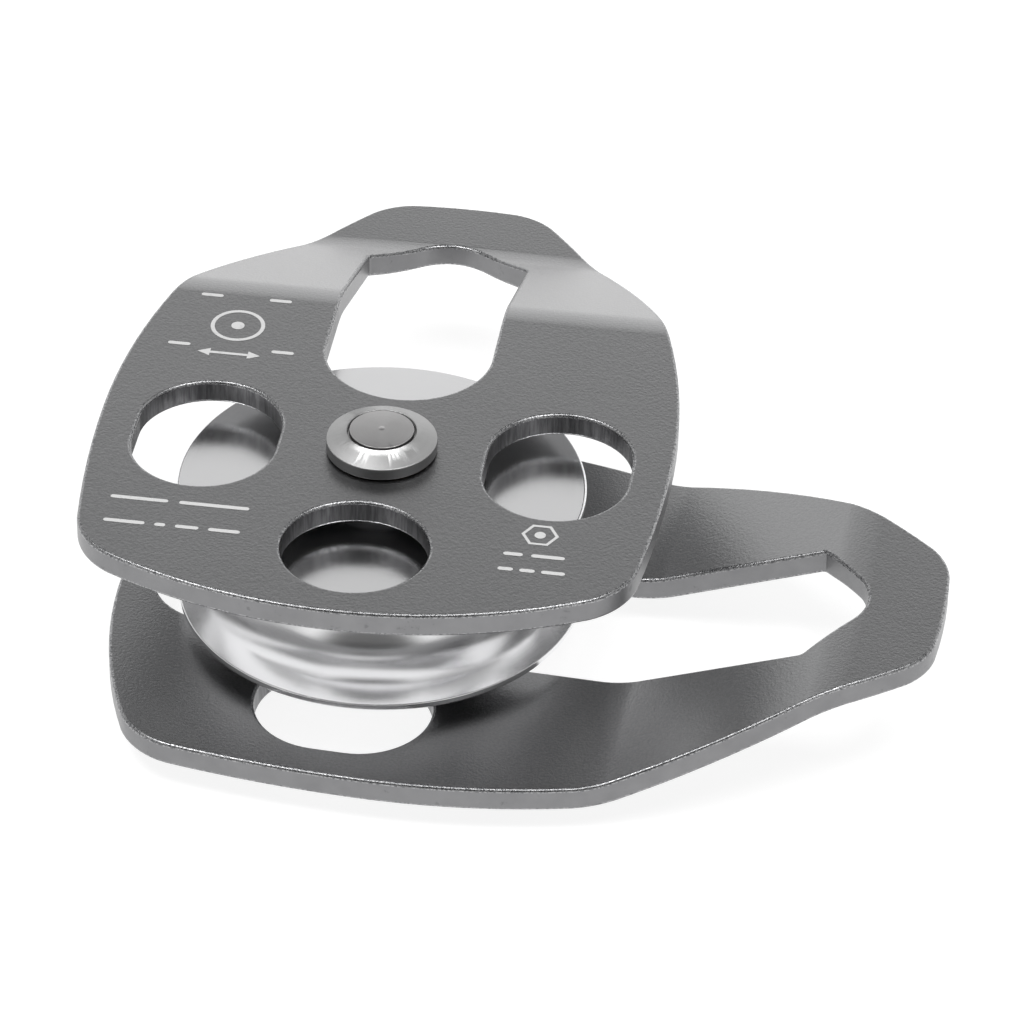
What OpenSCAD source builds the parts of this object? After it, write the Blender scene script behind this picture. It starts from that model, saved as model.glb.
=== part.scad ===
// Swing-plate rope pulley. Z is the axle, +Y is the way the upper plate's head points,
// and the origin is the middle of the axle. Millimetres.

/* [Side plates] */
// Thickness of a side plate
plate_t = 3.7; // [3:0.1:5]
// Space between the sheave and each plate
side_gap = 2.2; // [1.8:0.1:5]
// Half of a plate's greatest width
plate_half_w = 42.3; // [40:0.1:50]
// Height of the widest line above the axle
widest_y = 5; // [2:0.5:8]
// Axle to the end of the head
head_y = 83.6; // [80:0.1:95]
// Half of the head's width, where its sides would meet its end
head_half_w = 11.25; // [8:0.05:20]
// Radius of the head's end
head_end_r = 90; // [60:1:200]
// Radius of the head's corners
head_corner_r = 11; // [6:0.5:13]
// Axle to the end of the tail
tail_y = 39.2; // [38:0.1:44]
// Half of the tail's width, where its sides would meet its end
tail_half_w = 37.35; // [34:0.05:39]
// Radius of the tail's end
tail_end_r = 77; // [60:1:100]
// Radius of the tail's corners
tail_corner_r = 12; // [8:0.5:16]
// Turn of the lower plate about the axle, from the upper plate
lower_turn = -93; // [-180:1:180]

/* [Bent head] */
// Sheave's rim to the start of the first bend
bend_clear = 5.1; // [3:0.1:7]
// Slope of the plate between its two bends
bend_angle = 20.6; // [18:0.1:28]
// Inside radius of both bends
bend_r = 18; // [8:0.5:22]
// Space between the two heads when the plates are closed
head_clear = 0.3; // [0.2:0.1:1]

/* [Carabiner opening] */
// Width of the opening
eye_w = 25; // [20:0.1:28]
// Axle to the centre of the opening's round end
eye_y = 25.7; // [25:0.1:28]
// Width of the strip between the carabiner seat and the head's end
head_strip = 11.4; // [10:0.1:15]
// Radius of the carabiner seat
eye_seat_r = 8; // [6:0.1:9]
// Slope of the two shoulders beside the seat
eye_shoulder_angle = 39; // [30:1:45]
// Radius in the shoulder corners
eye_corner_r = 1.4; // [0.8:0.1:2]

/* [Lightening holes] */
// Diameter of the round hole and width of the two slots
hole_d = 21.2; // [16:0.1:22]
// Axle to the round hole
tail_hole_y = 23.8; // [22.5:0.1:26]
// Axle to each slot
slot_x = 25.9; // [25:0.1:28]
// Distance between the centres of a slot's two round ends
slot_run = 4.8; // [2:0.1:8]

/* [Sheave] */
// Diameter over the flanges
sheave_d = 60; // [54:0.5:66]
// Width over the flanges
sheave_w = 19; // [18:0.1:20]
// Depth of the groove below the rim
groove_depth = 11; // [9:0.1:12]
// Radius of the groove
groove_r = 7.9; // [7:0.1:8]
// Thickness of a flange at its rim
flange_rim = 1.3; // [1:0.1:1.6]
// Chamfer on the rim's outer edge
rim_chamfer = 0.35; // [0.2:0.05:0.6]

/* [Axle and caps] */
// Diameter of the axle pin
pin_d = 10; // [9:0.1:11]
// Width of the ring-shaped gap around the pin's visible end
tip_gap = 0.3; // [0.1:0.05:0.6]
// Height of the pin's end above the plate face
pin_stand = 3.65; // [3:0.05:5]
// Rise of the pin's domed end
pin_dome = 0.15; // [0.1:0.05:0.4]
// How far a cap reaches past the sleeve below it
cap_reach = 1.6; // [1:0.1:3]
// Space between a cap and the plate
cap_clear = 0.35; // [0.2:0.05:0.6]
// Height of a cap's straight skirt
cap_skirt = 1.75; // [1:0.05:2.5]
// Height of a cap's cone
cap_cone = 1.4; // [1:0.05:2]
// Wall of the sleeve that a plate swings on
bush_wall = 1.5; // [1:0.1:1.8]
// Radial clearance between the sleeve and the plate
bush_clear = 0.05; // [0.02:0.01:0.08]
// End play of a plate on the spacer's side
plate_play = 0.1; // [0.05:0.05:0.3]

/* [Bearings] */
// Outside diameter of a bearing
bearing_d = 19; // [18:0.5:20]
// Width of a bearing
bearing_w = 5; // [4.5:0.1:5.5]
// Depth of a bearing's face below the sheave's face
bearing_recess = 0.5; // [0.3:0.1:1]
// Space between a bearing's two rings
ring_gap = 1.8; // [1.6:0.05:2.1]
// Diameter of a ball
ball_d = 2.4; // [2.2:0.05:2.6]
// Number of balls in a bearing
ball_count = 10; // [8:1:11]
// Clearance between a ball and its track
ball_clear = 0.05; // [0.02:0.01:0.08]
// Thickness of the cage
cage_t = 1; // [0.8:0.1:1.2]
// Thickness of a seal
seal_t = 0.45; // [0.3:0.05:0.6]
// Clearance between a seal's lip and the inner ring
seal_clear = 0.1; // [0.05:0.01:0.1]
// How far a side spacer's flange reaches past the sleeve on it
spacer_reach = 2.5; // [1.5:0.1:4]
// Space between a spacer's flange and the sheave
spacer_clear = 0.4; // [0.3:0.1:0.8]

/* [Hidden] */
$fn = 96;

slack = 1;                               // how far a cutter runs past what it cuts
hair = 0.02;                             // by how much a rounding disc oversteps its corner's sides
sheave_r = sheave_d / 2;
plate_z = sheave_w / 2 + side_gap;       // inner face of the upper plate
face_z = plate_z + plate_t;              // outer face of the upper plate
head_drop = plate_z - head_clear / 2;    // how far a head is set in
bend_y = sheave_r + bend_clear;          // where the first bend starts
eye_top_y = head_y - head_strip;         // top of the carabiner seat
pin_r = pin_d / 2;
bush_r = pin_r + bush_wall;
cap_r = bush_r + cap_reach;
spacer_r = bush_r + spacer_reach;
spacer_z = plate_z - plate_play;         // where the sleeve stands on the spacer
cap_z = face_z + cap_clear;              // underside of the upper cap
cap_top_z = cap_z + cap_skirt + cap_cone;
bearing_z = sheave_w / 2 - bearing_recess - bearing_w / 2;   // middle of the upper bearing
ball_pitch_r = (pin_r + bearing_d / 2) / 2;
inner_ring_r = ball_pitch_r - ring_gap / 2;
outer_ring_r = ball_pitch_r + ring_gap / 2;
track_r = ball_d / 2 + ball_clear;
seal_rebate = 0.35;                      // how far a seal reaches into the outer ring
seal_setback = 0.1;                      // how far a seal lies below the bearing's face
rib_step = 0.15;                         // how far the rib between the bearings covers their rings
shoulder_r = outer_ring_r - rib_step;    // bore of that rib
cage_rim = 0.35;                         // width of the cage beside its pockets
cage_half_w = track_r + cage_rim;
tip_sunk = 0.6;                          // how far the pin's thin end starts below the cap's top
cap_lip = 0.1;                           // width of the flat that the cap's cone ends in

// --- plane geometry ------------------------------------------------------------------------------

function unit(v) = v / norm(v);

// The crossing of two circles that lies to the left of the way from a to b.
function circles_meet(a, ra, b, rb) =
    let (d = norm(b - a), u = (b - a) / d, along = (d * d + ra * ra - rb * rb) / (2 * d))
    a + along * u + sqrt(ra * ra - along * along) * [-u[1], u[0]];

// Where two internally tangent circles touch; a circle is [centre, radius].
function touch(p, q) =
    p[1] > q[1] ? p[0] + p[1] * unit(q[0] - p[0]) : q[0] + q[1] * unit(p[0] - q[0]);

// What rounding a corner with a disc takes off: the tip outside the disc, beyond the chord between
// p and q, where the disc touches the corner's two sides. The disc is larger by a hair, so that it
// crosses the sides and doesn't only touch them.
module corner_tip(disc, p, q) {
    middle = (p + q) / 2;
    out = middle - disc[0];
    difference() {
        translate(middle) rotate(atan2(out[1], out[0]))
            translate([0, -disc[1]]) square(2 * disc[1]);
        translate(disc[0]) circle(r = disc[1] + hair);
    }
}

// The tip that rounding to radius r takes off a straight-sided corner at p, which opens by the angle
// opening about the direction a.
module straight_corner_tip(p, a, opening, r) {
    reach = r / tan(opening / 2);
    disc = [p + r / sin(opening / 2) * [cos(a), sin(a)], r];
    sides = [for (way = [-1, 1]) p + reach * [cos(a + way * opening / 2), sin(a + way * opening / 2)]];
    corner_tip(disc, sides[0], sides[1]);
}

// --- side plates ---------------------------------------------------------------------------------

// The circle of the right side, which is upright at the widest line and passes through [x, y].
function side_circle(x, y) =
    let (inset = plate_half_w - x, r = (inset * inset + (y - widest_y) * (y - widest_y)) / (2 * inset))
    [[plate_half_w - r, widest_y], r];

// The disc of radius r that rounds the corner to the left of the way from circle p to circle q.
function corner_disc(p, q, r) = [circles_meet(p[0], p[1] - r, q[0], q[1] - r), r];

head_end = [[0, head_y - head_end_r], head_end_r];
tail_end = [[0, tail_end_r - tail_y], tail_end_r];
head_side = side_circle(head_half_w, head_y);
tail_side = side_circle(tail_half_w, -tail_y);
head_corner = corner_disc(head_side, head_end, head_corner_r);
tail_corner = corner_disc(tail_end, tail_side, tail_corner_r);

// The shape that both sides and one end bound, from the height y0 up to y1, with its corners rounded.
module plate_half(side, end, corner, y0, y1) {
    difference() {
        intersection() {
            translate(side[0]) circle(r = side[1]);
            mirror([1, 0]) translate(side[0]) circle(r = side[1]);
            translate(end[0]) circle(r = end[1]);
            translate([-side[1], y0]) square([2 * side[1], y1 - y0]);
        }
        for (flip = [0, 1]) mirror([flip, 0])
            corner_tip(corner, touch(end, corner), touch(corner, side));
    }
}

module plate_outline() {
    plate_half(head_side, head_end, head_corner, widest_y, head_y + slack);
    plate_half(tail_side, tail_end, tail_corner, -tail_y - slack, widest_y);
}

// The opening: a round end, straight sides, two sloping shoulders and a round seat between them.
module carabiner_opening() {
    side_x = eye_w / 2;
    peak_y = eye_top_y - eye_seat_r + eye_seat_r / cos(eye_shoulder_angle);
    shoulder_y = peak_y - side_x * tan(eye_shoulder_angle);
    end_y = eye_y - side_x;
    difference() {
        polygon([
            [-side_x, end_y], [-side_x, shoulder_y], [0, peak_y], [side_x, shoulder_y], [side_x, end_y]
        ]);
        straight_corner_tip([0, peak_y], -90, 180 - 2 * eye_shoulder_angle, eye_seat_r);
        for (side = [-1, 1]) {
            straight_corner_tip([side * side_x, shoulder_y],
                                -90 - side * (90 + eye_shoulder_angle) / 2,
                                90 + eye_shoulder_angle, eye_corner_r);
            straight_corner_tip([side * side_x, end_y], 90 + side * 45, 90, side_x);
        }
    }
}

module plate_holes() {
    circle(r = bush_r + bush_clear);
    carabiner_opening();
    translate([0, -tail_hole_y]) circle(d = hole_d);
    for (side = [-1, 1]) translate([side * slot_x, 0]) {
        square([hole_d, slot_run], center = true);
        for (end = [-1, 1]) translate([0, end * slot_run / 2]) circle(d = hole_d);
    }
}

// The region under one face of the bent plate, across Y and Z. The face is at z0 over the flat part;
// it bends down with the radius r1 and level again with the radius r2.
module under_face(z0, r1, r2, past) {
    floor_z = -head_drop - plate_t;
    ceiling_z = z0 + head_drop;
    first = [bend_y + r1 * tan(bend_angle / 2), z0];
    second = first + head_drop * [1 / tan(bend_angle), -1];
    difference() {
        translate([-tail_y - past, floor_z]) square([tail_y + head_y + 2 * past, z0 - floor_z]);
        difference() {
            polygon([
                second, [head_y + 2 * past, second[1]], [head_y + 2 * past, ceiling_z],
                2 * first - second
            ]);
            straight_corner_tip(second, 90 - bend_angle / 2, 180 - bend_angle, r2);
        }
        straight_corner_tip(first, -90 - bend_angle / 2, 180 - bend_angle, r1);
    }
}

// Side view of a plate, with the inner face of its flat part at z = 0.
module plate_profile() {
    difference() {
        under_face(plate_t, bend_r + plate_t, bend_r, slack);
        under_face(0, bend_r, bend_r + plate_t, 2 * slack);
    }
}

module side_plate() {
    color("#6f7275") translate([0, 0, plate_z]) intersection() {
        translate([0, 0, -head_drop - slack])
            linear_extrude(head_drop + plate_t + 2 * slack) difference() {
                plate_outline();
                plate_holes();
            }
        translate([-plate_half_w - slack, 0, 0]) rotate([90, 0, 90])
            linear_extrude(2 * (plate_half_w + slack)) plate_profile();
    }
}

module upper_plate() {
    side_plate();
}

module lower_plate() {
    rotate(lower_turn) mirror([0, 0, 1]) side_plate();
}

// --- sheave --------------------------------------------------------------------------------------

module sheave_section() {
    groove_centre = sheave_r - groove_depth + groove_r;
    mouth = sheave_w / 2 - flange_rim;
    difference() {
        translate([0, -sheave_w / 2]) square([sheave_r, sheave_w]);
        translate([groove_centre, 0]) circle(r = groove_r);
        polygon([
            [groove_centre, -groove_r], [sheave_r, -mouth], [sheave_r + slack, -mouth],
            [sheave_r + slack, mouth], [sheave_r, mouth], [groove_centre, groove_r]
        ]);
        translate([-slack, -sheave_w / 2 - slack])
            square([shoulder_r + slack, sheave_w + 2 * slack]);
        for (side = [0, 1]) mirror([0, side]) {
            translate([-slack, bearing_z - bearing_w / 2])
                square([bearing_d / 2 + slack, bearing_w + bearing_recess + slack]);
            translate([sheave_r, sheave_w / 2]) rotate(45)
                square(rim_chamfer * sqrt(2), center = true);
        }
    }
}

module sheave() {
    color("#d9dbdd") rotate_extrude($fn = 180) sheave_section();
}

// --- axle, caps, sleeves and spacers --------------------------------------------------------------

module axle_pin() {
    tip_r = pin_r - tip_gap;
    tip_z = face_z + pin_stand;
    neck_z = cap_top_z - tip_sunk;
    dome_r = (tip_r * tip_r + pin_dome * pin_dome) / (2 * pin_dome);
    color("#b9babb") {
        cylinder(r = pin_r, h = 2 * neck_z, center = true);
        for (side = [0, 1]) mirror([0, 0, side]) {
            translate([0, 0, neck_z - slack]) cylinder(r = tip_r, h = tip_z - neck_z + slack);
            intersection() {
                translate([0, 0, tip_z - slack]) cylinder(r = tip_r, h = slack + pin_dome);
                translate([0, 0, tip_z + pin_dome - dome_r]) sphere(r = dome_r);
            }
        }
    }
}

module cap() {
    color("#c6c7c8") translate([0, 0, cap_z]) rotate_extrude() polygon([
        [pin_r, 0], [cap_r, 0], [cap_r, cap_skirt],
        [pin_r + cap_lip, cap_skirt + cap_cone], [pin_r, cap_skirt + cap_cone]
    ]);
}

module upper_collar() {
    cap();
}

module lower_collar() {
    mirror([0, 0, 1]) cap();
}

module tube(r_in, r_out, z0, z1) {
    translate([0, 0, z0]) difference() {
        cylinder(r = r_out, h = z1 - z0);
        translate([0, 0, -slack]) cylinder(r = r_in, h = z1 - z0 + 2 * slack);
    }
}

module bush() {
    color("#b08d57") tube(pin_r, bush_r, spacer_z, cap_z);
}

module upper_bush() {
    bush();
}

module lower_bush() {
    mirror([0, 0, 1]) bush();
}

// A stepped ring: its boss stands on the bearing's inner ring, its flange faces the plate.
module side_spacer() {
    boss_z = bearing_z + bearing_w / 2;
    flange_z = sheave_w / 2 + spacer_clear;
    color("#a9abad") {
        tube(pin_r, inner_ring_r, boss_z, spacer_z);
        tube(pin_r, spacer_r, flange_z, spacer_z);
    }
}

module upper_spacer() {
    side_spacer();
}

module lower_spacer() {
    mirror([0, 0, 1]) side_spacer();
}

module bearing_spacer() {
    reach = bearing_z - bearing_w / 2;
    color("#a9abad") tube(pin_r, inner_ring_r, -reach, reach);
}

// --- bearing, drawn about its own middle with its outside face at +Z ------------------------------

module track() {
    rotate_extrude() translate([ball_pitch_r, 0]) circle(r = track_r, $fn = 48);
}

module inner_ring() {
    color("#c2c4c6") difference() {
        tube(pin_r, inner_ring_r, -bearing_w / 2, bearing_w / 2);
        track();
    }
}

module outer_ring() {
    rebate = seal_t + seal_setback;
    color("#c2c4c6") difference() {
        tube(outer_ring_r, bearing_d / 2, -bearing_w / 2, bearing_w / 2);
        track();
        for (side = [0, 1]) mirror([0, 0, side]) translate([0, 0, bearing_w / 2 - rebate])
            cylinder(r = outer_ring_r + seal_rebate, h = rebate + slack);
    }
}

module balls() {
    color("#e3e4e5") for (i = [0 : ball_count - 1]) rotate(i * 360 / ball_count)
        translate([ball_pitch_r, 0, 0]) sphere(d = ball_d, $fn = 32);
}

module cage() {
    color("#b08d57") difference() {
        tube(ball_pitch_r - cage_t / 2, ball_pitch_r + cage_t / 2, -cage_half_w, cage_half_w);
        for (i = [0 : ball_count - 1]) rotate(i * 360 / ball_count)
            rotate([0, 90, 0]) cylinder(r = track_r, h = ball_pitch_r + cage_t, $fn = 48);
    }
}

module seal() {
    top = bearing_w / 2 - seal_setback;
    color("#26282a") tube(inner_ring_r + seal_clear, outer_ring_r + seal_rebate, top - seal_t, top);
}

// Puts a bearing piece in its seat: side 1 is the upper bearing, side -1 the lower one.
module seated(side) {
    translate([0, 0, side * bearing_z]) mirror([0, 0, side > 0 ? 0 : 1]) children();
}

upper_plate();
lower_plate();
sheave();
axle_pin();
upper_collar();
lower_collar();
upper_bush();
lower_bush();
upper_spacer();
lower_spacer();
bearing_spacer();
seated(1) outer_ring();  // upper_bearing_outer_ring
seated(1) inner_ring();  // upper_bearing_inner_ring
seated(1) balls();  // upper_bearing_balls
seated(1) cage();  // upper_bearing_cage
seated(1) seal();  // upper_bearing_outside_seal
seated(1) mirror([0, 0, 1]) seal();  // upper_bearing_inside_seal
seated(-1) outer_ring();  // lower_bearing_outer_ring
seated(-1) inner_ring();  // lower_bearing_inner_ring
seated(-1) balls();  // lower_bearing_balls
seated(-1) cage();  // lower_bearing_cage
seated(-1) seal();  // lower_bearing_outside_seal
seated(-1) mirror([0, 0, 1]) seal();  // lower_bearing_inside_seal
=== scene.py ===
"""Looks of the swing-plate rope pulley: materials, rounded edges, print, light and camera."""

import math

import bmesh
import bpy
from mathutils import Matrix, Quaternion, Vector


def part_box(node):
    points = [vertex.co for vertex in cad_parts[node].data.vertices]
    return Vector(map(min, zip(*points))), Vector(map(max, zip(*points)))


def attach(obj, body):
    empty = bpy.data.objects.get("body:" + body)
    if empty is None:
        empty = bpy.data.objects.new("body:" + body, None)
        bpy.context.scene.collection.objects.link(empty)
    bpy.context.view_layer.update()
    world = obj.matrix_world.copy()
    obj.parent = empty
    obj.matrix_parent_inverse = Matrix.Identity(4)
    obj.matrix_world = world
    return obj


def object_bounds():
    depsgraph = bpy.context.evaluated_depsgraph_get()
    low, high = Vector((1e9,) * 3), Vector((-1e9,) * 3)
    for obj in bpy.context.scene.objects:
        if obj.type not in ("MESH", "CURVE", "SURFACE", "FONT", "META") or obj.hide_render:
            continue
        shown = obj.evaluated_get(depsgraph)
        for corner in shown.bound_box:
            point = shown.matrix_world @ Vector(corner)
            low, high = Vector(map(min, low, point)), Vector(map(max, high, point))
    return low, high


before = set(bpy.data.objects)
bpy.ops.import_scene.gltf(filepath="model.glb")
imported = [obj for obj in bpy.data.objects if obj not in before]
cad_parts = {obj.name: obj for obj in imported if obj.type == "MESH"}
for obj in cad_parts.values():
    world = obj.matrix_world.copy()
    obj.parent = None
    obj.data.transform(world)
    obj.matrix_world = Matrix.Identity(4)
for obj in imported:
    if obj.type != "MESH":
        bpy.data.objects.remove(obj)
cad_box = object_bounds()

MM = 0.001

# --- camera ---------------------------------------------------------------------------------------

CAMERA_AZIMUTH = 7.38        # degrees from looking along +Y, towards -X
CAMERA_ELEVATION = 36.35     # degrees above the plates' plane
CAMERA_ROLL = 1.2
CAMERA_DISTANCE = 0.7414
CAMERA_AIM = Vector((0.01816, 0.00866, 0.0))
CAMERA_LENS = 175.8
CAMERA_SENSOR = 36
CAMERA_NEAR = 0.01


def direction(azimuth, elevation):
    """The way a camera looks at that azimuth and elevation, in degrees."""
    a, e = math.radians(azimuth), math.radians(elevation)
    return Vector((-math.sin(a) * math.cos(e), math.cos(a) * math.cos(e), -math.sin(e)))


def add_camera():
    data = bpy.data.cameras.new("camera")
    data.lens = CAMERA_LENS
    data.sensor_width = CAMERA_SENSOR
    data.clip_start = CAMERA_NEAR
    camera = bpy.data.objects.new("camera", data)
    bpy.context.scene.collection.objects.link(camera)
    look = direction(CAMERA_AZIMUTH, CAMERA_ELEVATION)
    camera.location = CAMERA_AIM - CAMERA_DISTANCE * look
    camera.rotation_mode = "QUATERNION"
    roll = Quaternion((0, 0, 1), math.radians(CAMERA_ROLL))
    camera.rotation_quaternion = look.to_track_quat("-Z", "Y") @ roll
    bpy.context.scene.camera = camera


# --- node trees -----------------------------------------------------------------------------------


class Tree:
    """A short way to write a node tree: each call adds one node and links or sets its inputs."""

    def __init__(self, owner):
        owner.use_nodes = True
        self.nodes = owner.node_tree.nodes
        self.links = owner.node_tree.links
        self.nodes.clear()

    def add(self, kind, inputs=None, out=0, **settings):
        node = self.nodes.new(kind)
        for key, value in settings.items():
            setattr(node, key, value)
        for key, value in (inputs or {}).items():
            self.put(node.inputs[key], value)
        return node.outputs[out] if node.outputs else node

    def put(self, socket, value):
        if isinstance(value, bpy.types.NodeSocket):
            self.links.new(value, socket)
        else:
            socket.default_value = value

    def math(self, operation, *values):
        return self.add("ShaderNodeMath", dict(enumerate(values)), operation=operation)

    def vector(self, operation, *values, out=0):
        return self.add("ShaderNodeVectorMath", dict(enumerate(values)), out, operation=operation)

    def fade(self, value, start, end, low=0.0, high=1.0):
        """low before start, high after end, and smooth between them."""
        inputs = {0: value, 1: start, 2: end, 3: low, 4: high}
        return self.add("ShaderNodeMapRange", inputs, interpolation_type="SMOOTHSTEP")

    def mix(self, factor, a, b):
        return self.add("ShaderNodeMix", {0: factor, 6: a, 7: b}, out=2, data_type="RGBA")

    def blend(self, factor, a, b):
        return self.add("ShaderNodeMix", {0: factor, 2: a, 3: b}, out=0, data_type="FLOAT")

    def noise(self, vector, scale, detail=2.0, roughness=0.5):
        inputs = {"Vector": vector, "Scale": scale, "Detail": detail, "Roughness": roughness}
        return self.add("ShaderNodeTexNoise", inputs)

    def bump(self, height, strength, distance):
        inputs = {"Height": height, "Strength": strength, "Distance": distance}
        return self.add("ShaderNodeBump", inputs)

    def grey(self, value):
        return self.add("ShaderNodeCombineColor", {0: value, 1: value, 2: value})

    def surface(self, **inputs):
        shader = self.add("ShaderNodeBsdfPrincipled", inputs)
        self.add("ShaderNodeOutputMaterial", {"Surface": shader})


def new_tree(name):
    material = bpy.data.materials.new(name)
    return material, Tree(material)


def place(t):
    """The point on the piece in the part's frame, in metres, which turns with the piece."""
    return t.add("ShaderNodeTexCoord", out=3)


def flatness(t):
    """1 where the surface lies level, 0 on walls that stand up."""
    normal = t.add("ShaderNodeTexCoord", out=1)
    z = t.add("ShaderNodeSeparateXYZ", {0: normal}, out=2)
    return t.math("ABSOLUTE", z)


def lathe_place(t):
    """Radius from the axle and height, so that a pattern on it runs round like a lathe's marks."""
    p = place(t)
    flat = t.vector("MULTIPLY", p, (1, 1, 0))
    radius = t.vector("LENGTH", flat, out=1)
    height = t.add("ShaderNodeSeparateXYZ", {0: p}, out=2)
    return t.add("ShaderNodeCombineXYZ", {0: radius, 2: height}), radius


# --- materials ------------------------------------------------------------------------------------

# Colours are linear. A pattern's scale is in cells per metre, and a bump's height in metres.

PLATE_GREY = (0.150, 0.151, 0.155, 1)
PLATE_DARK = (0.128, 0.129, 0.133, 1)
WALL_GREY = (0.27, 0.27, 0.275, 1)
WALL_DARK = (0.20, 0.20, 0.205, 1)
HOLE_GREY = (0.22, 0.22, 0.225, 1)
HOLE_DARK = (0.11, 0.11, 0.115, 1)
HOLE_REACH = 0.038           # the round holes' walls all lie nearer to the axle than this
PEBBLE_SCALE = 2300
PEBBLE_BUMP = 0.0001
STREAK_SCALE = 2300
STREAK_STRETCH = 0.08        # how much a hole wall's streaks are drawn out upwards
CLOUD_SCALE = 60
WALL_CLOUD_SCALE = 300
SCUFF_SCALE = 420
FACE_ROUGHNESS = 0.30
WALL_ROUGHNESS = 0.36
HOLE_ROUGHNESS = 0.34


def plate_metal():
    """Grey anodised plate: pebbled faces, smooth scuffed walls, and streaks in the round holes."""
    m, t = new_tree("plate_metal")
    p = place(t)
    level = t.fade(flatness(t), 0.45, 0.75)
    reach = t.vector("LENGTH", t.vector("MULTIPLY", p, (1, 1, 0)), out=1)
    outside = t.math("GREATER_THAN", reach, HOLE_REACH)
    pebble = t.noise(p, PEBBLE_SCALE, 2.5, 0.6)
    cloud = t.noise(p, CLOUD_SCALE, 3)
    drawn_up = t.vector("MULTIPLY", p, (1, 1, STREAK_STRETCH))
    streak = t.fade(t.noise(drawn_up, STREAK_SCALE, 3, 0.6), 0.3, 0.7)
    scuff = t.fade(t.noise(p, SCUFF_SCALE, 4, 0.65), 0.62, 0.70)
    speck = t.fade(pebble, 0.35, 0.65, 0.92, 1.08)
    face = t.mix(cloud, PLATE_DARK, PLATE_GREY)
    face = t.vector("MULTIPLY", face, t.grey(speck))
    wall = t.mix(t.noise(p, WALL_CLOUD_SCALE, 3), WALL_DARK, WALL_GREY)
    wall = t.mix(t.math("MULTIPLY", scuff, 0.5), wall, PLATE_DARK)
    bore = t.mix(streak, HOLE_DARK, HOLE_GREY)
    colour = t.mix(level, t.mix(outside, bore, wall), face)
    face_rough = t.math("ADD", t.math("MULTIPLY", pebble, 0.12), FACE_ROUGHNESS)
    rough = t.blend(level, t.blend(outside, HOLE_ROUGHNESS, WALL_ROUGHNESS), face_rough)
    drawn = t.blend(outside, t.math("MULTIPLY", streak, 0.2), t.math("MULTIPLY", pebble, 0.15))
    normal = t.bump(t.blend(level, drawn, pebble), 0.42, PEBBLE_BUMP)
    t.surface(**{"Base Color": colour, "Metallic": 1.0, "Roughness": rough, "Normal": normal,
                 "Coat Weight": level, "Coat Roughness": 0.24, "Coat IOR": 1.9,
                 "Coat Normal": normal})
    return m


RIM_GREY = (0.14, 0.142, 0.147, 1)
RIM_WORN = (0.40, 0.40, 0.405, 1)
RIM_SCALE = 3200
RIM_BUMP = 0.00004


def plate_rim():
    """The plates' rounded rims, where the finish is rubbed bright in places."""
    m, t = new_tree("plate_rim")
    wear = t.fade(t.noise(place(t), RIM_SCALE, 3, 0.7), 0.38, 0.60)
    colour = t.mix(wear, RIM_GREY, RIM_WORN)
    rough = t.blend(wear, 0.32, 0.24)
    normal = t.bump(wear, 0.3, RIM_BUMP)
    t.surface(**{"Base Color": colour, "Metallic": 1.0, "Roughness": rough, "Normal": normal})
    return m


RING_SPREAD = 0.08           # how far the rings' roughness runs either side of its middle
RING_BUMP = 0.00001
PATCH_SCALE = 160


def turned(name, light, dark, rough, anisotropy, marks):
    """Metal turned on a lathe: fine rings round the axle, and a soft patchiness."""
    m, t = new_tree(name)
    at, _ = lathe_place(t)
    rings = t.noise(at, marks, 3, 0.7)
    patch = t.noise(place(t), PATCH_SCALE, 3)
    colour = t.mix(t.blend(0.5, rings, patch), dark, light)
    roughness = t.math("ADD", t.math("MULTIPLY", rings, RING_SPREAD), rough - RING_SPREAD / 2)
    normal = t.bump(rings, 0.12, RING_BUMP)
    tangent = t.add("ShaderNodeTangent", direction_type="RADIAL", axis="Z")
    t.surface(**{"Base Color": colour, "Metallic": 1.0, "Roughness": roughness, "Normal": normal,
                 "Anisotropic": anisotropy, "Tangent": tangent})
    return m


PIN_LIGHT = (0.50, 0.495, 0.495, 1)
PIN_DARK = (0.36, 0.355, 0.355, 1)
PIN_RING_SCALE = 5000
PIN_PATCH_SCALE = 260
PIP_TOP = 0.0001             # radius of the pip's top
PIP_FOOT = 0.0006
PIP_HEIGHT = 0.0001


def pin_end():
    """The axle's turned end, with the small pip that the tool leaves in its middle."""
    m, t = new_tree("axle_steel")
    at, radius = lathe_place(t)
    rings = t.noise(at, PIN_RING_SCALE, 3, 0.7)
    patch = t.noise(place(t), PIN_PATCH_SCALE, 3)
    colour = t.mix(t.blend(0.6, rings, patch), PIN_DARK, PIN_LIGHT)
    pip = t.fade(radius, PIP_TOP, PIP_FOOT, 1.0, 0.0)
    height = t.math("ADD", t.math("MULTIPLY", rings, 0.12), pip)
    normal = t.bump(height, 0.8, PIP_HEIGHT)
    tangent = t.add("ShaderNodeTangent", direction_type="RADIAL", axis="Z")
    t.surface(**{"Base Color": colour, "Metallic": 1.0, "Roughness": 0.34, "Normal": normal,
                 "Anisotropic": 0.5, "Tangent": tangent})
    return m


BALL_LIGHT = (0.82, 0.82, 0.83, 1)
BALL_DARK = (0.70, 0.70, 0.71, 1)
BALL_SMEAR_SCALE = 1800


def polished_ball():
    """Polished steel with faint smears of grease."""
    m, t = new_tree("ball_steel")
    smear = t.noise(place(t), BALL_SMEAR_SCALE, 3)
    rough = t.math("ADD", t.math("MULTIPLY", smear, 0.06), 0.05)
    colour = t.mix(smear, BALL_DARK, BALL_LIGHT)
    t.surface(**{"Base Color": colour, "Metallic": 1.0, "Roughness": rough})
    return m


SEAL_BLACK = (0.018, 0.018, 0.019, 1)
SEAL_DUSTY = (0.04, 0.04, 0.042, 1)
SEAL_GRAIN_SCALE = 6000
SEAL_DUST_SCALE = 700
SEAL_BUMP = 0.00002


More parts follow.
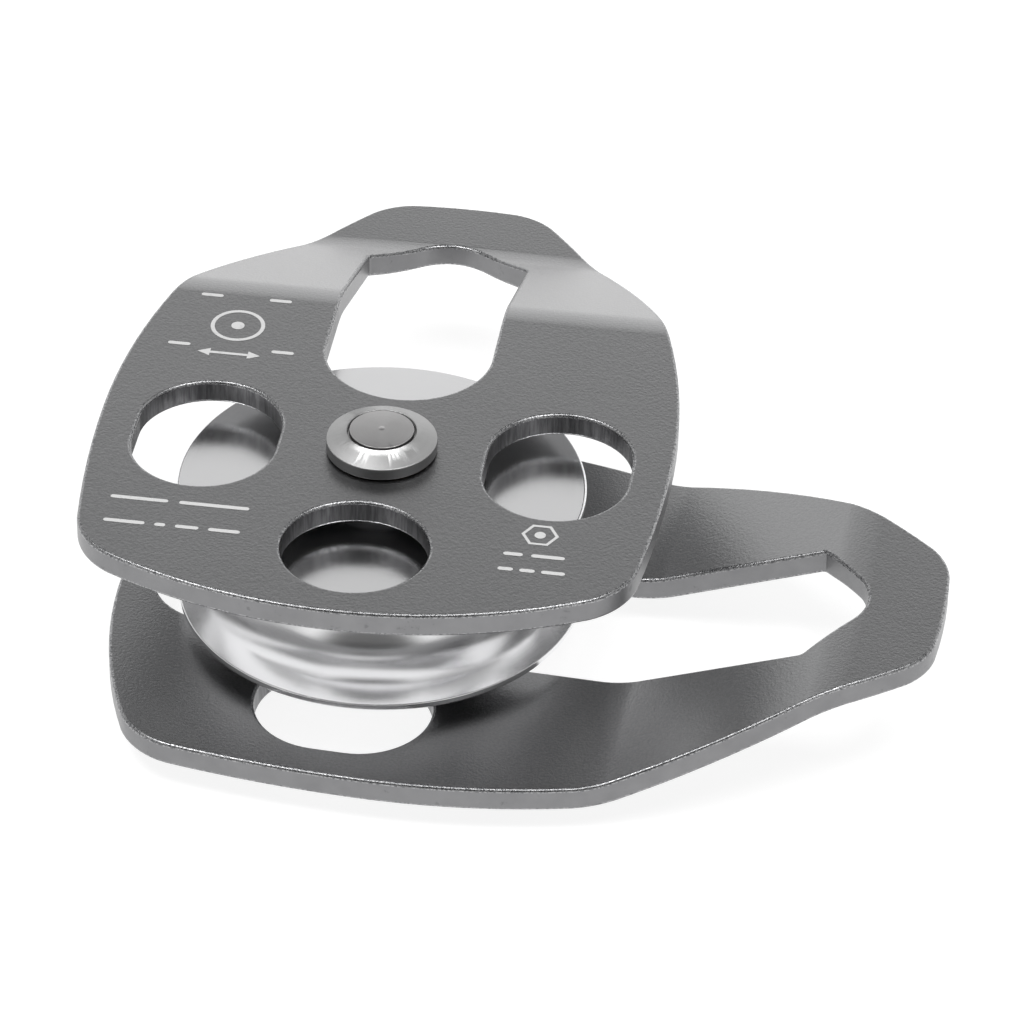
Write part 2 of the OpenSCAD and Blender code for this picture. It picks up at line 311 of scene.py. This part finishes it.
def seal_rubber():
    """Dull black rubber with a fine grain."""
    m, t = new_tree("seal_rubber")
    p = place(t)
    grain = t.noise(p, SEAL_GRAIN_SCALE, 2)
    colour = t.mix(t.noise(p, SEAL_DUST_SCALE, 3), SEAL_BLACK, SEAL_DUSTY)
    rough = t.math("ADD", t.math("MULTIPLY", grain, 0.2), 0.5)
    normal = t.bump(grain, 0.3, SEAL_BUMP)
    t.surface(**{"Base Color": colour, "Roughness": rough, "Normal": normal})
    return m


PRINT_FRESH = (0.62, 0.62, 0.62, 1)
PRINT_THIN = (0.40, 0.40, 0.405, 1)
PRINT_RUB_SCALE = 1400
PRINT_GRAIN_SCALE = 2600
PRINT_BUMP = 0.00002


def print_white():
    """The pale print on the plate, a little thin where it is rubbed."""
    m, t = new_tree("print_white")
    p = place(t)
    thin = t.fade(t.noise(p, PRINT_RUB_SCALE, 3, 0.6), 0.55, 0.75)
    colour = t.mix(t.math("MULTIPLY", thin, 0.45), PRINT_FRESH, PRINT_THIN)
    normal = t.bump(t.noise(p, PRINT_GRAIN_SCALE, 2), 0.3, PRINT_BUMP)
    t.surface(**{"Base Color": colour, "Roughness": 0.55, "Normal": normal})
    return m


FLOOR_LIGHT = (0.32, 0.32, 0.32, 1)
FLOOR_DARK = (0.28, 0.28, 0.28, 1)
FLOOR_TONE_SCALE = 3
FLOOR_GLOW = 0.84            # lifts the floor to the backdrop's white


def floor_white():
    m, t = new_tree("floor_white")
    colour = t.mix(t.noise(place(t), FLOOR_TONE_SCALE, 3), FLOOR_DARK, FLOOR_LIGHT)
    t.surface(**{"Base Color": colour, "Roughness": 0.8, "Specular IOR Level": 0.1,
                 "Emission Color": (1, 1, 1, 1), "Emission Strength": FLOOR_GLOW})
    return m


# --- CAD nodes ------------------------------------------------------------------------------------

WELD_REACH = 0.0005 * MM
FLAT_ANGLE = 0.3             # faces that turn by less than this, in degrees, become one
EDGE_ANGLE = 35              # edges that turn by more than this, in degrees, are rounded
SHADE_WEIGHT = 80            # of 100: how far the larger faces rule the shading at an edge
PLATE_ROUNDING = 0.5 * MM
SHEAVE_ROUNDING = 0.15 * MM
CAP_ROUNDING = 0.12 * MM
PIN_ROUNDING = 0.1 * MM


def all_smooth():
    """A modifier's node group that shades every face and edge smooth."""
    group = bpy.data.node_groups.new("all_smooth", "GeometryNodeTree")
    for way in ("INPUT", "OUTPUT"):
        group.interface.new_socket("Geometry", in_out=way, socket_type="NodeSocketGeometry")
    shape = group.nodes.new("NodeGroupInput").outputs[0]
    for domain in ("FACE", "EDGE"):
        node = group.nodes.new("GeometryNodeSetShadeSmooth")
        node.domain = domain
        node.inputs["Shade Smooth"].default_value = True
        group.links.new(shape, node.inputs["Geometry"])
        shape = node.outputs["Geometry"]
    group.links.new(shape, group.nodes.new("NodeGroupOutput").inputs[0])
    return group


def dress(node, material, rim=None, rim_width=0.0, segments=3, ball=False):
    """Gives a CAD node its material, and rounds its sharp edges by rim_width, in rim's material.

    A ball's mesh has faces of no area at its poles, which the weld takes away."""
    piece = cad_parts[node]
    piece.data.materials.clear()
    piece.data.materials.append(material)
    if rim is not None:
        piece.data.materials.append(rim)
    if not rim_width and not ball:
        return
    weld = piece.modifiers.new("weld", "WELD")
    weld.merge_threshold = WELD_REACH
    if rim_width:
        flats = piece.modifiers.new("flats", "DECIMATE")
        flats.decimate_type = "DISSOLVE"
        flats.angle_limit = math.radians(FLAT_ANGLE)
        bevel = piece.modifiers.new("rounding", "BEVEL")
        bevel.width = rim_width
        bevel.segments = segments
        bevel.limit_method = "ANGLE"
        bevel.angle_limit = math.radians(EDGE_ANGLE)
        bevel.use_clamp_overlap = False
        bevel.loop_slide = False
        if rim is not None:
            bevel.material = 1
    smooth = piece.modifiers.new("smooth", "NODES")
    smooth.node_group = SMOOTH
    shade = piece.modifiers.new("shading", "WEIGHTED_NORMAL")
    shade.weight = SHADE_WEIGHT


SMOOTH = all_smooth()


def dress_plates():
    plate, rim = plate_metal(), plate_rim()
    for node in ("upper_plate", "lower_plate"):
        dress(node, plate, rim, PLATE_ROUNDING, 4)


def dress_axle():
    sheave_light, sheave_dark = (0.90, 0.90, 0.905, 1), (0.83, 0.83, 0.84, 1)
    sheave = turned("sheave_aluminium", sheave_light, sheave_dark, 0.20, 0.3, 2600)
    dress("sheave", sheave, rim_width=SHEAVE_ROUNDING)
    cap = turned("cap_steel", (0.42, 0.42, 0.42, 1), (0.32, 0.32, 0.32, 1), 0.33, 0.75, 4000)
    dress("axle_pin", pin_end(), rim_width=PIN_ROUNDING)
    for side in ("upper", "lower"):
        dress(side + "_collar", cap, rim_width=CAP_ROUNDING)


def dress_bearings():
    bronze = turned("bronze", (0.60, 0.44, 0.25, 1), (0.45, 0.31, 0.16, 1), 0.32, 0.4, 3500)
    spacer = turned("spacer_steel", (0.58, 0.58, 0.59, 1), (0.46, 0.46, 0.47, 1), 0.28, 0.5, 4000)
    ring = turned("bearing_steel", (0.68, 0.68, 0.69, 1), (0.58, 0.58, 0.59, 1), 0.18, 0.4, 6000)
    ball, seal = polished_ball(), seal_rubber()
    dress("bearing_spacer", spacer)
    for side in ("upper", "lower"):
        dress(side + "_bush", bronze)
        dress(side + "_spacer", spacer)
        bearing = side + "_bearing_"
        for part, material in (("outer_ring", ring), ("inner_ring", ring), ("cage", bronze),
                               ("outside_seal", seal), ("inside_seal", seal)):
            dress(bearing + part, material)
        dress(bearing + "balls", ball, ball=True)


# --- printed marks --------------------------------------------------------------------------------

PRINT_LIFT = 0.01 * MM       # underside of the print above the plate's face
PRINT_DEPTH = 0.03 * MM
BAR_WIDTH = 0.75             # the marks' own sizes are in millimetres
BAR_STEPS = 6
DOT_STEPS = 23


def arc(x, y, r, start, end, steps):
    """Points on a circle from one angle to another, in degrees and millimetres."""
    angles = [math.radians(start + (end - start) * k / steps) for k in range(steps + 1)]
    return [(x + r * math.cos(a), y + r * math.sin(a)) for a in angles]


def bar(x, y, length):
    """A level bar with round ends, from its left end's middle."""
    r = BAR_WIDTH / 2
    return arc(x + length - r, y, r, -90, 90, BAR_STEPS) + arc(x + r, y, r, 90, 270, BAR_STEPS)


def dot(x, y, r):
    return arc(x, y, r, 0, 345, DOT_STEPS)


def double_arrow(x, y, length, width=0.55, head=1.9):
    """A level arrow with a head at each end, about its middle."""
    half, w, h = length / 2, width / 2, head / 2
    neck = half - head
    right = [(neck, -w), (neck, -h), (half, 0), (neck, h), (neck, w)]
    left = [(-px, -py) for px, py in right]
    return [(x + px, y + py) for px, py in right + left]


def frame_band(x, y, r, sides, line=0.6):
    """An even outline with that many sides, as an outer and an inner loop."""
    step = 360 / sides
    return arc(x, y, r, 0, 360 - step, sides - 1), arc(x, y, r - line, 0, 360 - step, sides - 1)


def print_mark(name, fills, bands, material):
    """A thin printed mark on the upper plate: filled outlines, and bands between two loops."""
    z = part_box("upper_plate")[1].z + PRINT_LIFT
    mesh = bmesh.new()

    def loop(points):
        return [mesh.verts.new((x * MM, y * MM, z)) for x, y in points]

    for points in fills:
        mesh.faces.new(loop(points))
    for outer, inner in bands:
        a, b = loop(outer), loop(inner)
        for k in range(len(a)):
            mesh.faces.new((a[k - 1], a[k], b[k], b[k - 1]))
    grown = bmesh.ops.extrude_face_region(mesh, geom=mesh.faces[:])
    raised = [v for v in grown["geom"] if isinstance(v, bmesh.types.BMVert)]
    bmesh.ops.translate(mesh, verts=raised, vec=(0, 0, PRINT_DEPTH))
    bmesh.ops.recalc_face_normals(mesh, faces=mesh.faces[:])
    data = bpy.data.meshes.new(name)
    mesh.to_mesh(data)
    mesh.free()
    data.materials.append(material)
    piece = bpy.data.objects.new(name, data)
    bpy.context.scene.collection.objects.link(piece)
    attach(piece, "upper_plate")


def row(x, y, lengths, gap):
    """Bars in a row, from x on, with a gap between each two."""
    bars = []
    for length in lengths:
        bars.append(bar(x, y, length))
        x += length + gap
    return bars


def add_marks():
    """Plain marks where such a plate carries its print: no letters, figures or signs."""
    white = print_white()
    wheel_x, wheel_y = -26.5, 28
    wheel = [dot(wheel_x, wheel_y, 1.0), double_arrow(wheel_x, 20.5, 9.5)]
    for x, y in ((-33.5, 35.5), (-23, 35.5), (-36, 22), (-20.3, 22)):
        wheel.append(bar(x, y, 3.4))
    print_mark("print_wheel", wheel, [frame_band(wheel_x, wheel_y, 4.1, 48)], white)
    lines = row(-36.5, -17.6, (8.4, 10.2), 1.6) + row(-36.4, -23.3, (6, 1.6, 3.4, 4.6), 1.4)
    print_mark("print_rope", lines, [], white)
    nut_x, nut_y = 25.6, -17
    notes = row(21, -22, (2.8, 4.8), 1.2) + row(20.7, -25.6, (2.2, 2.2, 3.4), 0.9)
    notes.append(dot(nut_x, nut_y, 0.8))
    print_mark("print_notes", notes, [frame_band(nut_x, nut_y, 2.7, 6, 0.5)], white)


# --- light ----------------------------------------------------------------------------------------

FLOOR_RADIUS = 6
SKY_LOW, SKY_HIGH = 1.20, 0.25                # brightness near the horizon and overhead
SKY_LOW_END, SKY_HIGH_START = 0.40, 0.76      # heights, as the sine of the elevation
FRONT_DARK = 0.12                             # the darker place where the photographer stands
FRONT_ELEVATION = 30
FRONT_EDGE, FRONT_FULL = 0.72, 0.94           # cosines of the angle from its middle
SIDE_DARK = 0.45                              # the studio's darker left and right
SIDE_EDGE, SIDE_FULL = 0.55, 0.95
SOFTBOX_AZIMUTH = 65
SOFTBOX_ELEVATION = 68
SOFTBOX_DISTANCE = 1.2
SOFTBOX_SIZE = (0.6, 0.42)
SOFTBOX_POWER = 6


def add_floor():
    bottom = cad_box[0][2]
    bpy.ops.mesh.primitive_circle_add(vertices=96, radius=FLOOR_RADIUS, fill_type="NGON",
                                      location=(0, 0, bottom))
    floor = bpy.context.object
    floor.name = "floor"
    floor.data.materials.append(floor_white())


def add_world():
    """A pale sky for the reflections. The camera itself sees plain white behind the object."""
    world = bpy.data.worlds.new("studio")
    bpy.context.scene.world = world
    t = Tree(world)
    way = t.add("ShaderNodeTexCoord", out=0)
    height = t.add("ShaderNodeSeparateXYZ", {0: way}, out=2)
    across = t.math("ABSOLUTE", t.vector("DOT_PRODUCT", way, (1, 0, 0), out=1))
    sides = t.fade(across, SIDE_EDGE, SIDE_FULL, 1.0, SIDE_DARK)
    sky = t.fade(height, SKY_LOW_END, SKY_HIGH_START, SKY_LOW, SKY_HIGH)
    front = tuple(-direction(0, FRONT_ELEVATION))
    along = t.vector("DOT_PRODUCT", way, front, out=1)
    dark = t.fade(along, FRONT_EDGE, FRONT_FULL, 1.0, FRONT_DARK)
    seen = t.add("ShaderNodeLightPath", out=0)
    value = t.blend(seen, t.math("MULTIPLY", t.math("MULTIPLY", sky, dark), sides), 1.0)
    background = t.add("ShaderNodeBackground", {"Color": t.grey(value), "Strength": 1.0})
    t.add("ShaderNodeOutputWorld", {"Surface": background})


def add_softbox(name, azimuth):
    """A soft light above one side, that shines at the axle."""
    data = bpy.data.lights.new(name, "AREA")
    data.shape = "RECTANGLE"
    data.size, data.size_y = SOFTBOX_SIZE
    data.energy = SOFTBOX_POWER
    lamp = bpy.data.objects.new(name, data)
    bpy.context.scene.collection.objects.link(lamp)
    look = direction(azimuth, SOFTBOX_ELEVATION)
    lamp.location = -SOFTBOX_DISTANCE * look
    lamp.rotation_mode = "QUATERNION"
    lamp.rotation_quaternion = look.to_track_quat("-Z", "Y")


def add_light():
    add_world()
    add_softbox("softbox_left", -SOFTBOX_AZIMUTH)
    add_softbox("softbox_right", SOFTBOX_AZIMUTH)


# --- everything -----------------------------------------------------------------------------------

add_camera()
dress_plates()
dress_axle()
dress_bearings()
add_marks()
add_floor()
add_light()
bpy.context.scene.view_settings.view_transform = "Standard"
